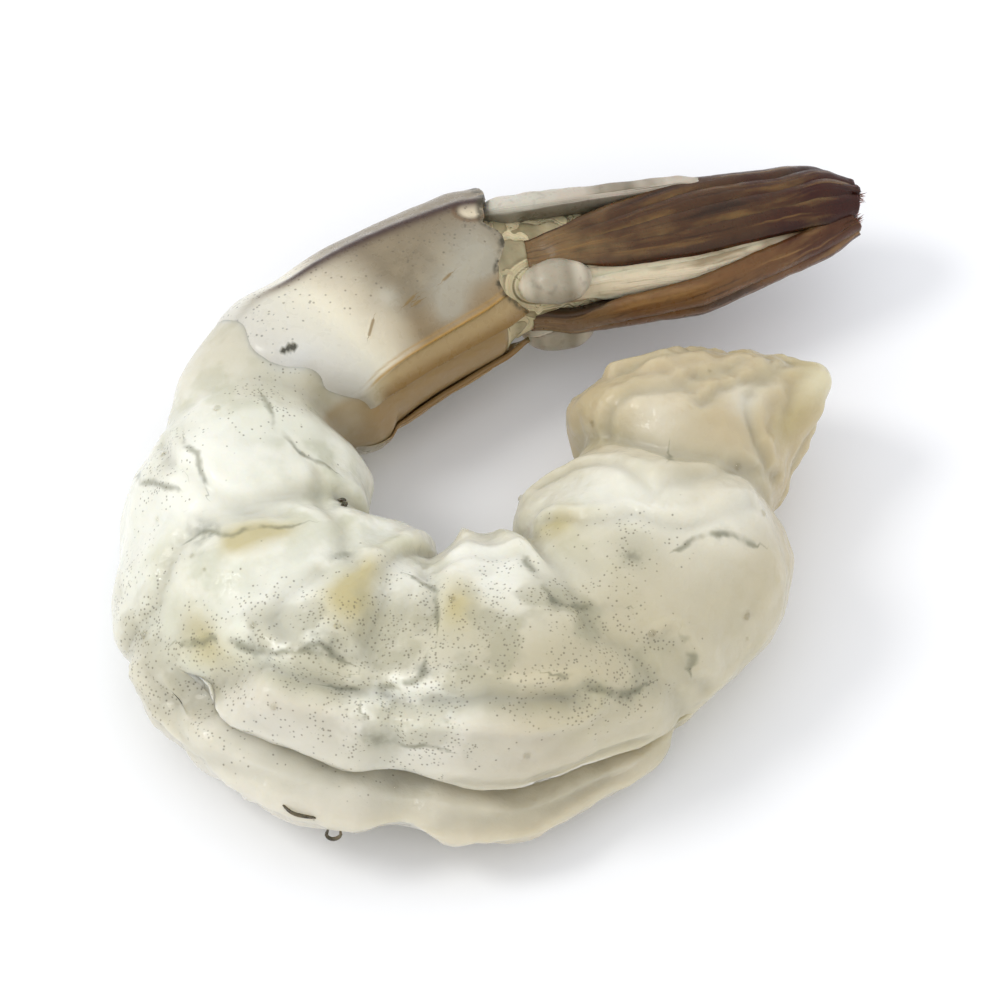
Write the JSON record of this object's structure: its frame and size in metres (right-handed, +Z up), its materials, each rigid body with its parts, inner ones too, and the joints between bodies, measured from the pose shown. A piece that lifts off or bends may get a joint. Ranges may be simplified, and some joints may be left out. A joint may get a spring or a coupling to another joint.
{
  "type": "raw peeled shrimp",
  "caption": "Raw shrimp, peeled and deveined with the tail left on, lying curled on its side with its tail fan folded.",
  "frame": {"origin": "under the middle of the whole shrimp's bounding box, on the surface it lies on", "axes": "+Z up, the way it lies on its right side; the curl opens towards +X and +Y, and the tail fan points to +X"},
  "size_m": [0.059, 0.0602, 0.0166],
  "materials": {
    "raw_flesh": "wet translucent raw flesh, greyish white with fine dark speckles",
    "tail_shell": "wet thin translucent shell, grey beige with brown marks",
    "tail_plates": "wet ribbed tail plates, dark brown to red brown",
    "tail_knobs": "wet pale grey-beige shell"
  },
  "bodies": {
    "root": {"flesh": "raw_flesh", "tail_shell": "tail_shell", "telson": "tail_plates", "endopod_left": "tail_plates", "endopod_right": "tail_plates", "exopod_left": "tail_plates", "exopod_right": "tail_plates", "protopod_left": "tail_knobs", "protopod_right": "tail_knobs"}
  },
  "joints": []
}
